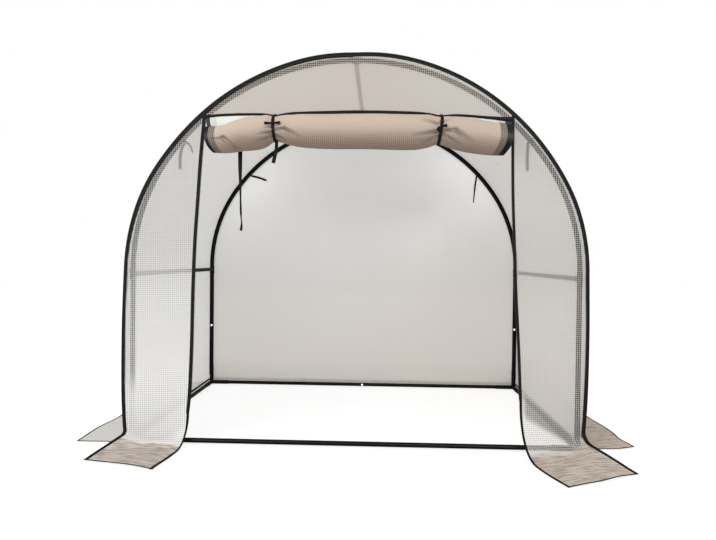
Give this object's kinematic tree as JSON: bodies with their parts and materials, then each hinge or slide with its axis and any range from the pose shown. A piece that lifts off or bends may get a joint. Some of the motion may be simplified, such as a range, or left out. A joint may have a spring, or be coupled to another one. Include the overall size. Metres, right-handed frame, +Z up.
{
  "type": "polytunnel greenhouse",
  "caption": "Walk-in tunnel greenhouse: black tube hoops on ground rails under a translucent mesh-film cover with taped edges, ground skirts and a rolled-up door.",
  "frame": {"origin": "on the ground at the middle of the footprint, midway between the front and rear hoops", "axes": "+Z up, +X to the right seen from the doorway, the doorway faces -Y"},
  "size_m": [2.8896, 2.3896, 2.0133],
  "materials": {
    "frame_steel": "satin",
    "mesh_film": "satin",
    "rolled_film": "satin",
    "black_tape": "matte"
  },
  "bodies": {
    "root": {"front_left_corner": "frame_steel", "front_right_corner": "frame_steel", "rear_left_corner": "frame_steel", "rear_right_corner": "frame_steel", "front_left_leg": "frame_steel", "front_right_leg": "frame_steel", "rear_left_leg": "frame_steel", "rear_right_leg": "frame_steel", "front_left_side": "frame_steel", "front_right_side": "frame_steel", "rear_left_side": "frame_steel", "rear_right_side": "frame_steel", "front_crown": "frame_steel", "rear_crown": "frame_steel", "front_left_rail": "frame_steel", "front_right_rail": "frame_steel", "rear_left_rail": "frame_steel", "rear_right_rail": "frame_steel", "left_rail": "frame_steel", "right_rail": "frame_steel", "left_purlin": "frame_steel", "right_purlin": "frame_steel", "ridge_purlin": "frame_steel", "purlin_clamps": "frame_steel", "roof_sheet": "mesh_film", "left_wall": "mesh_film", "right_wall": "mesh_film", "rear_wall": "mesh_film", "front_gable": "mesh_film", "front_left_wall": "mesh_film", "front_right_wall": "mesh_film", "rolled_door": "rolled_film", "front_arch_binding": "black_tape", "rear_arch_binding": "black_tape", "door_header_tape": "black_tape", "left_door_tape": "black_tape", "right_door_tape": "black_tape", "door_ties": "black_tape", "hoop_ties": "black_tape", "door_strap": "black_tape", "door_tie_tail": "black_tape", "front_left_tails": "black_tape", "front_right_tail": "black_tape", "rear_left_tail": "black_tape", "rear_right_tails": "black_tape"}
  },
  "joints": []
}
